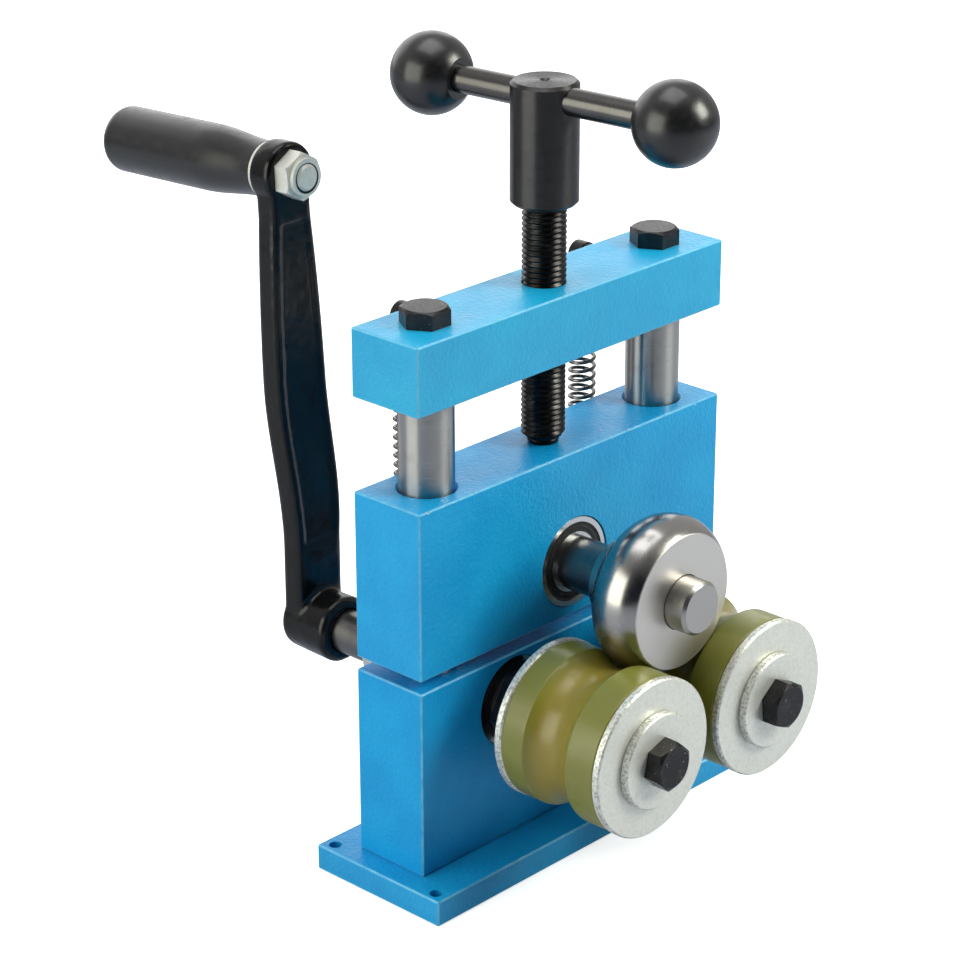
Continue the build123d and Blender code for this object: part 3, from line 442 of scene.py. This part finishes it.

# %% [markdown]
# ## Cast polyurethane
# The grooved rollers are cast in a mould: a hard, slightly clear rubber, sage green where it is
# thick. The amber down in the groove is painted into the colour: it stands for the light that has
# gone further through the rubber there and for the groove's shade. Some of the light scatters
# inside, and the skin is as glossy as the mould was.

# %% Polyurethane rollers
def polyurethane(node):
    """Green skin that turns amber towards the groove as painted light and shade, by the distance from
    the axis.
    """
    material, tree, shader = new_finish("cast_polyurethane_" + node, "#8F9442", 0.0, 0.24, IOR=1.5,
                                        Subsurface_Weight=0.3, Subsurface_Scale=0.004,
                                        Subsurface_Radius=(1, 0.95, 0.35),
                                        Coat_Weight=0.25, Coat_Roughness=0.2)
    low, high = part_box(node)
    middle, radius = (low + high) / 2, (high.x - low.x) / 2
    out = axis_radius(tree, middle.x, middle.z)
    # Painted light and shade: amber towards the groove, for the light gone through the rubber and the
    # groove's shade.
    deep = between(tree, out, radius + 1.2 * mm, radius - 4.2 * mm)
    cloud = between(tree, grain(tree, 16 * mm, 3), 0.3, 0.7, 0.0, 0.45)
    skin = blend_colour(tree, cloud, "#75792F", "#6E6C27")
    skin = blend_colour(tree, deep, skin, "#877824")
    tree.links.new(skin, shader.inputs["Base Color"])
    uneven_gloss(tree, shader, 4 * mm, 4, 0.28, 0.42)
    relief(tree, shader, grain(tree, 2.5 * mm, 2), 0.05 * mm)
    dress(material, node)


polyurethane("left_tyre")
polyurethane("right_tyre")

# %% [markdown]
# ## Phenolic balls and grip
# The two balls and the grip are moulded in black phenolic, a hard thermoset, and tumbled until
# they shine. Handling leaves faint swirls in the gloss, and the skin is very slightly uneven.

# %% Black phenolic
phenolic, tree, shader = new_finish("polished_black_phenolic", "#111112", 0.0, 0.3, IOR=1.55,
                                    Coat_Weight=0.15, Coat_Roughness=0.15)
uneven_gloss(tree, shader, 3 * mm, 5, 0.28, 0.38, 0.35, 0.75)
relief(tree, shader, grain(tree, 7 * mm, 2), 0.02 * mm)
dress(phenolic, "near_knob", "far_knob", "grip")

# %% [markdown]
# ## The cast crank arm
# The arm is sand cast and dipped in black gloss enamel. In a casting every edge is soft and every
# inner corner has a fillet, which a turned or milled piece doesn't. A copy of the CAD arm is
# voxel remeshed at 0.6 mm and smoothed a little, which rounds both at once.

# %% Crank arm with cast edges
def finished_piece(name, mesh, material, body, *replaced):
    """Puts a finished mesh in the scene on its body, in place of CAD nodes."""
    mesh.materials.clear()
    mesh.materials.append(material)
    piece = bpy.data.objects.new(name, mesh)
    bpy.context.scene.collection.objects.link(piece)
    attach(piece, body)
    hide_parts(*replaced)
    print(name, "has", sum(len(p.vertices) - 2 for p in mesh.polygons), "triangles")
    return piece


def cast_copy(node, voxel, passes):
    """A copy of a CAD node with the soft edges of a casting."""
    bm = bmesh.new()
    bm.from_mesh(nodes[node].data)
    bmesh.ops.remove_doubles(bm, verts=bm.verts[:], dist=0.001 * mm)
    mesh = bpy.data.meshes.new(node + "_merged")
    bm.to_mesh(mesh)
    bm.free()
    carrier = bpy.data.objects.new(node + "_carrier", mesh)
    bpy.context.scene.collection.objects.link(carrier)
    remesh = carrier.modifiers.new("cast skin", "REMESH")
    remesh.mode = "VOXEL"
    remesh.voxel_size = voxel
    soften = carrier.modifiers.new("soft edges", "SMOOTH")
    soften.factor = 0.5
    soften.iterations = passes
    shown = carrier.evaluated_get(bpy.context.evaluated_depsgraph_get())
    cast = bpy.data.meshes.new_from_object(shown)
    bpy.data.objects.remove(carrier)
    cast.polygons.foreach_set("use_smooth", [True] * len(cast.polygons))
    return cast


enamel, tree, shader = new_finish("black_casting_enamel", "#0D0D0D", 0.0, 0.22, IOR=1.38)
skin = join(tree, "ADD", grain(tree, 9 * mm, 1),
            join(tree, "MULTIPLY", grain(tree, 3 * mm, 1), 0.25))
uneven_gloss(tree, shader, 5 * mm, 4, 0.17, 0.26)
relief(tree, shader, skin, 0.45 * mm)
arm_voxel, smooth_passes = 0.6 * mm, 16
cast_arm = cast_copy("crank_arm", arm_voxel, smooth_passes)
finished_piece("cast_crank_arm", cast_arm, enamel, "crank", "crank_arm")

# %% [markdown]
# ## Hexagon heads
# A hexagon head is turned at an angle of 30 degrees before it is used, so its flat top is a circle
# a little inside the flats, and each side ends in an arc. A copy of the CAD head is cut by planes
# that lean on that cone, and each cut is closed before the next.

# %% Heads with turned corners
def hex_copy(name, node, heads, axis, top_radius, cuts=48):
    """A copy of a node whose hexagons, given by the middles of their tops, get a cone chamfer."""
    bm = bmesh.new()
    bm.from_mesh(nodes[node].data)
    bmesh.ops.remove_doubles(bm, verts=bm.verts[:], dist=0.001 * mm)
    outwards = axis.orthogonal().normalized()
    for top in heads:
        for cut in range(cuts):
            out = Matrix.Rotation(2 * math.pi * cut / cuts, 3, axis) @ outwards
            near = [v for v in bm.verts if (v.co - top).length < 2 * top_radius]
            edges = {e for v in near for e in v.link_edges}
            faces = {f for v in near for f in v.link_faces}
            # The plane leans 30 degrees from the head's flat top.
            bmesh.ops.bisect_plane(bm, geom=near + list(edges) + list(faces), dist=0.0001 * mm,
                                   plane_co=top + out * top_radius,
                                   plane_no=out * 0.5 + axis * math.sqrt(0.75), clear_outer=True)
            bmesh.ops.holes_fill(bm, edges=[e for e in bm.edges if e.is_boundary], sides=0)
    mesh = bpy.data.meshes.new(name)
    bm.to_mesh(mesh)
    bm.free()
    return mesh


up, front = Vector((0, 0, 1)), Vector((0, -1, 0))
bolt_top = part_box("post_bolts")[1].z
head_circle = 7.5 * mm
post_middles = [(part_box(post)[0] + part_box(post)[1]) / 2 for post in ("left_post", "right_post")]
tops = [Vector((place.x, place.y, bolt_top)) for place in post_middles]
post_heads = hex_copy("post_bolt_heads", "post_bolts", tops, up, head_circle)
finished_piece("post_bolt_heads", post_heads, bolt_black, "frame", "post_bolts")
for side_name, body in (("left", "crank"), ("right", "right_roller")):
    name, bolt = side_name + "_bolt_head", side_name + "_roller_bolt"
    low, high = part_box(bolt)
    top = Vector(((low.x + high.x) / 2, low.y, (low.z + high.z) / 2))
    roller_head = hex_copy(name, bolt, [top], front, head_circle)
    finished_piece(name, roller_head, bolt_black, body, bolt)

# %% [markdown]
# ## The pressing screw
# A metric screw thread of 16 mm with a pitch of 2 mm. The outline of one thread, root, flank,
# crest, flank and root, is drawn as five edges and spun round the axis while it climbs one pitch
# a turn. Where one turn ends the next begins, so merging doubles closes the ridge into one skin.

# %% Screw thread
def thread_mesh(name, radius, pitch, bottom, top, point_radius, point_top):
    """A right-hand thread on the Z axis, with a plain point below it."""
    thread_depth, cone_slope = 0.6 * pitch, 1.15
    root = radius - thread_depth
    outline = [(root, 0), (root, 0.1), (radius, 0.43), (radius, 0.57), (root, 0.9), (root, 1)]
    turns = math.ceil((top - bottom) / pitch) + 2
    steps = 48
    bm = bmesh.new()
    corners = [bm.verts.new((r, 0, bottom + (share - 1) * pitch)) for r, share in outline]
    for first, second in zip(corners, corners[1:]):
        bm.edges.new((first, second))
    bmesh.ops.spin(bm, geom=bm.verts[:] + bm.edges[:], cent=(0, 0, 0), axis=(0, 0, 1),
                   dvec=(0, 0, pitch / steps), angle=2 * math.pi * turns, steps=steps * turns)
    bmesh.ops.remove_doubles(bm, verts=bm.verts[:], dist=0.001 * mm)
    for height, direction in ((bottom, -1), (top, 1)):
        bmesh.ops.bisect_plane(bm, geom=bm.verts[:] + bm.edges[:] + bm.faces[:], dist=0.0001 * mm,
                               plane_co=(0, 0, height), plane_no=(0, 0, direction), clear_outer=True)
    # The first thread is turned down to a cone.
    for vert in bm.verts:
        room = point_radius + (vert.co.z - bottom) * cone_slope
        reach = math.hypot(vert.co.x, vert.co.y)
        if reach > room:
            vert.co.x *= room / reach
            vert.co.y *= room / reach
    bmesh.ops.holes_fill(bm, edges=[e for e in bm.edges if e.is_boundary], sides=0)
    cone = bmesh.ops.create_cone(bm, cap_ends=True, segments=48, radius1=point_radius - 0.5 * mm,
                                 radius2=point_radius, depth=bottom - point_top,
                                 matrix=Matrix.Translation((0, 0, (bottom + point_top) / 2)))
    print(name, "point has", len(cone["verts"]), "corners")
    bmesh.ops.recalc_face_normals(bm, faces=bm.faces[:])
    mesh = bpy.data.meshes.new(name)
    bm.to_mesh(mesh)
    bm.free()
    mesh.polygons.foreach_set("use_smooth", [len(p.vertices) <= 4 for p in mesh.polygons])
    return mesh


hub_bottom, screw_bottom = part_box("screw_hub")[0].z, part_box("pressing_screw")[0].z
screw_radius, pitch, point_radius = 8 * mm, 2 * mm, 6 * mm
point_height, inside_hub = 2 * mm, 2 * mm
screw = thread_mesh("pressing_screw_thread", screw_radius, pitch, screw_bottom + point_height,
                    hub_bottom + inside_hub, point_radius, screw_bottom)
finished_piece("pressing_screw_thread", screw, thread_black, "pressing_screw", "pressing_screw")

# %% [markdown]
# ## The lifting springs
# Each spring is one wire: a loop round the lower screw, a short neck, a bend into the coil,
# nineteen and a half turns, and the same back out at the top. A small circle is carried along
# that way by spins and straight pulls, each of which starts from the end of the last one.
# The wire is then parted by height, at its two necks. What is above the upper cut stays on the
# bar, what is below the lower one goes up with the block, and the coil between stays with the frame.
# A cut by height has a fault: each loop bends back past its neck, so its free end goes with the
# coil, and stands up to 0.9 mm out of place when the block is up.

# %% Spring wire
def spring_mesh(name, x, y, low_screw, high_screw):
    """Wire of 1.4 mm in a coil of 9.2 mm between two screws of 6 mm."""
    wire, coil, neck, bend, half_turns = 0.7 * mm, 4.6 * mm, 3.2 * mm, 2.5 * mm, 39
    wire_sides, loop_steps, bend_steps, half_turn_steps = 12, 24, 6, 14
    screw_shank = 3.05 * mm
    off_shank = coil - wire - screw_shank
    low, high = low_screw + off_shank, high_screw - off_shank
    bottom, top = low + neck + bend, high - neck - bend
    bm = bmesh.new()
    start = Matrix.Translation((x, y - bend, low + coil)) @ Matrix.Rotation(math.pi / 2, 4, "Y")
    made = bmesh.ops.create_circle(bm, cap_ends=False, segments=wire_sides, radius=wire,
                                   matrix=start)
    end = made["verts"] + list({e for v in made["verts"] for e in v.link_edges})

    def carry(end, centre, axis, angle, steps, climb=0.0):
        turned = bmesh.ops.spin(bm, geom=end, cent=centre, axis=axis, dvec=(0, 0, climb / steps),
                                angle=math.radians(angle), steps=steps)
        return turned["geom_last"]

    def pull(end, length):
        rim = [g for g in end if isinstance(g, bmesh.types.BMEdge)]
        moved = bmesh.ops.extrude_edge_only(bm, edges=rim)
        fresh = [g for g in moved["geom"] if isinstance(g, bmesh.types.BMVert)]
        bmesh.ops.translate(bm, verts=fresh, vec=(0, 0, length))
        return fresh + [g for g in moved["geom"] if isinstance(g, bmesh.types.BMEdge)
                        and all(v in fresh for v in g.verts)]

    end = carry(end, (x, y - bend, low), (0, 1, 0), -270, loop_steps)
    end = pull(end, neck)
    end = carry(end, (x + coil, y, bottom - bend), (1, 0, 0), -90, bend_steps)
    end = carry(end, (x, y, 0), (0, 0, 1), 180 * half_turns, half_turn_steps * half_turns,
                top - bottom)
    end = carry(end, (x - coil, y, top + bend), (1, 0, 0), -90, bend_steps)
    end = pull(end, neck)
    carry(end, (x, y - bend, high), (0, 1, 0), 270, loop_steps)
    bmesh.ops.remove_doubles(bm, verts=bm.verts[:], dist=0.001 * mm)
    bmesh.ops.holes_fill(bm, edges=[e for e in bm.edges if e.is_boundary], sides=0)
    bmesh.ops.recalc_face_normals(bm, faces=bm.faces[:])
    parts = []
    low_neck, high_neck = low + neck, high - neck
    for part, floor_z, roof_z in (("_lower_loop", -math.inf, low_neck),
                                  ("_wire_coil", low_neck, high_neck),
                                  ("_upper_loop", high_neck, math.inf)):
        piece_bm = bm.copy()
        outside = [f for f in piece_bm.faces if not floor_z < f.calc_center_median().z < roof_z]
        bmesh.ops.delete(piece_bm, geom=outside, context="FACES")
        bmesh.ops.holes_fill(piece_bm, edges=[e for e in piece_bm.edges if e.is_boundary], sides=0)
        mesh = bpy.data.meshes.new(name + part)
        piece_bm.to_mesh(mesh)
        piece_bm.free()
        mesh.polygons.foreach_set("use_smooth", [len(p.vertices) <= 4 for p in mesh.polygons])
        parts.append(mesh)
    bm.free()
    return parts, low_neck, high_neck


upper_low, upper_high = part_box("top_spring_screws")
lower_low, lower_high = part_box("block_spring_screws")
low_screw, high_screw = (lower_low.z + lower_high.z) / 2, (upper_low.z + upper_high.z) / 2
solid_reach = 5.2 * mm  # from the coil's axis to the back of the solid's thinner wire
for side_name in ("left", "right"):
    node = side_name + "_spring"
    low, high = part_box(node)
    middle_x, axis_y = (low.x + high.x) / 2, high.y - solid_reach
    meshes, low_neck, high_neck = spring_mesh(node, middle_x, axis_y, low_screw, high_screw)
    lower_loop, coil, upper_loop = (finished_piece(mesh.name, mesh, spring_black, body, node)
                                    for mesh, body in zip(meshes, ("upper_block", "frame", "frame")))
    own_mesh(coil)

# %% [markdown]
# ## The studio
# A white table with four soft boxes: one at the left, one high in front on the right, whose light
# the rollers keep off the lower block, one overhead, and a wide one behind, which the tops of the
# blocks mirror. The view transform is set to plain, so that white stays white. The room is dark on
# the camera's side: polished steel needs something dark to reflect, or it looks like grey paint.
# The camera itself sees none of that, only white behind the object, and the lamps are hidden from it.

# %% Floor, world and lights
bpy.context.scene.view_settings.view_transform = "Standard"

table_size, table_glow = 4.0, 0.62
bm = bmesh.new()
bmesh.ops.create_grid(bm, x_segments=1, y_segments=1, size=table_size)
floor_mesh = bpy.data.meshes.new("table")
bm.to_mesh(floor_mesh)
bm.free()
floor = bpy.data.objects.new("table", floor_mesh)
bpy.context.scene.collection.objects.link(floor)
floor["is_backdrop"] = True
# The eye sees a white sweep, but what lights the object from below is a dimmer grey table.
white, tree, shader = new_finish("white_table", "#F4F4F4", 0.0, 0.6)
shader.inputs["Emission Color"].default_value = colour("#FFFFFF")
seen = add_node(tree, "ShaderNodeLightPath").outputs["Is Camera Ray"]
tree.links.new(join(tree, "MULTIPLY", seen, table_glow), shader.inputs["Emission Strength"])
tree.links.new(blend_colour(tree, seen, "#B4BAC8", "#F2F2F2"), shader.inputs["Base Color"])
floor_mesh.materials.append(white)

world = bpy.data.worlds.new("studio")
world.use_nodes = True
bpy.context.scene.world = world
tree = world.node_tree
where = add_node(tree, "ShaderNodeTexCoord").outputs["Generated"]
backdrop_way = (0.45, 0.7, 0.55)
to_backdrop = add_node(tree, "ShaderNodeVectorMath", {1: backdrop_way}, {0: where},
                       operation="DOT_PRODUCT").outputs["Value"]
sky = between(tree, to_backdrop, -0.45, 0.85)
seen = add_node(tree, "ShaderNodeLightPath").outputs["Is Camera Ray"]
room = blend_colour(tree, seen, blend_colour(tree, sky, "#232A38", "#FFFFFF"), "#FFFFFF")
tree.links.new(room, tree.nodes["Background"].inputs["Color"])
tree.links.new(between(tree, seen, 0, 1, 0.6, 1.0), tree.nodes["Background"].inputs["Strength"])


def soft_light(name, place, target, width, height, power, tint="#FFFFFF"):
    """A rectangular soft box that faces a target."""
    lamp = bpy.data.lights.new(name, "AREA")
    lamp.shape = "RECTANGLE"
    lamp.size, lamp.size_y, lamp.energy = width, height, power
    lamp.color = colour(tint)[:3]
    holder = bpy.data.objects.new(name, lamp)
    holder.location = place
    holder.rotation_euler = (Vector(target) - Vector(place)).to_track_quat("-Z", "Y").to_euler()
    holder.visible_camera = False
    bpy.context.scene.collection.objects.link(holder)
    print(name, power, "W")


soft_light("left_box", (-1.35, 0.3, 0.5), (0, 0, 0.12), 1.2, 1.1, 14.5, "#FFFFF2")
soft_light("front_box", (0.75, -1.05, 0.95), (0, 0, 0.12), 0.7, 0.7, 20, "#FFFFF2")
soft_light("top_box", (0.0, 0.1, 1.4), (0, 0, 0.1), 0.9, 0.9, 7)
soft_light("backdrop_box", (0.7, 1.5, 0.75), (0, 0, 0.1), 2.4, 1.3, 11)

# %% [markdown]
# ## Measure and finish
# The box of the dressed object is printed in millimetres.

# %% Sizes
low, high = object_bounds()
print("dressed box in mm:", [round(v / mm, 1) for v in (high - low)])
